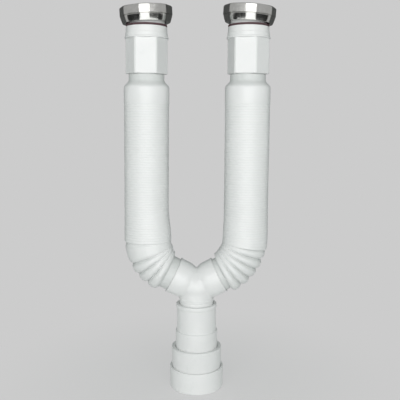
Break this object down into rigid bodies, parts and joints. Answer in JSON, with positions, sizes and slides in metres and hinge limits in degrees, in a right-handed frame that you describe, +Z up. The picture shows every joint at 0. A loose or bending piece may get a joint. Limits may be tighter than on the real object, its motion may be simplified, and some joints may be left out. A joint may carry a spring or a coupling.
{
  "type": "extendable waste pipe",
  "caption": "Extendable waste pipe for a double sink: bellows hoses with captive union nuts join in a Y above a stepped outlet for the drain pipe.",
  "frame": {"origin": "on the outlet's axis, in the plane of the drain socket's lower rim, which is also under the middle of the object's box", "axes": "+Z up the outlet's axis to the nuts, +X towards the right hose as seen from the front, -Y to the viewer"},
  "size_m": [0.1517, 0.0546, 0.3832],
  "materials": {
    "white_plastic": "moulded, semi-gloss",
    "hose_plastic": "blow-moulded, semi-gloss",
    "chrome_plate": "bright plated brass",
    "maroon_rubber": "matt",
    "black_rubber": "matt"
  },
  "bodies": {
    "root": {"y_junction": "white_plastic", "outlet_tube": "white_plastic", "middle_sleeve": "white_plastic", "drain_socket": "white_plastic", "drain_seal": "black_rubber", "tube_seal": "black_rubber", "neck_seal": "black_rubber", "left_branch_seal": "black_rubber", "right_branch_seal": "black_rubber"},
    "left_arm": {"left_hose": "hose_plastic"},
    "left_end": {"left_tail_connector": "white_plastic", "left_hose_seal": "black_rubber", "left_grip_ring": "maroon_rubber", "left_sealing_washer": "maroon_rubber"},
    "left_nut": {"left_union_nut": "chrome_plate"},
    "right_arm": {"right_hose": "hose_plastic"},
    "right_end": {"right_tail_connector": "white_plastic", "right_hose_seal": "black_rubber", "right_grip_ring": "maroon_rubber", "right_sealing_washer": "maroon_rubber"},
    "right_nut": {"right_union_nut": "chrome_plate"}
  },
  "joints": [
    {"name": "left_bend", "type": "hinge", "parent": "root", "child": "left_arm", "pos_m": [-0.04525, 0, 0.13496], "axis": [0, -1, 0], "range_deg": [-5, 45], "deforming": ["left_hose"]},
    {"name": "left_extend", "type": "slide", "parent": "left_arm", "child": "left_end", "axis": [0.0113, 0, 0.9999], "range_m": [0, 0.22], "deforming": ["left_hose"]},
    {"name": "left_nut_turn", "type": "hinge", "parent": "left_end", "child": "left_nut", "pos_m": [-0.04789, 0, 0.36628], "axis": [-0.0436, 0, 0.999], "continuous": true},
    {"name": "right_bend", "type": "hinge", "parent": "root", "child": "right_arm", "pos_m": [0.04369, 0, 0.13488], "axis": [0, 1, 0], "range_deg": [-5, 45], "deforming": ["right_hose"]},
    {"name": "right_extend", "type": "slide", "parent": "right_arm", "child": "right_end", "axis": [0.0052, 0, 1], "range_m": [0, 0.22], "deforming": ["right_hose"]},
    {"name": "right_nut_turn", "type": "hinge", "parent": "right_end", "child": "right_nut", "pos_m": [0.0508, 0, 0.36648], "axis": [0.0698, 0, 0.9976], "continuous": true}
  ]
}
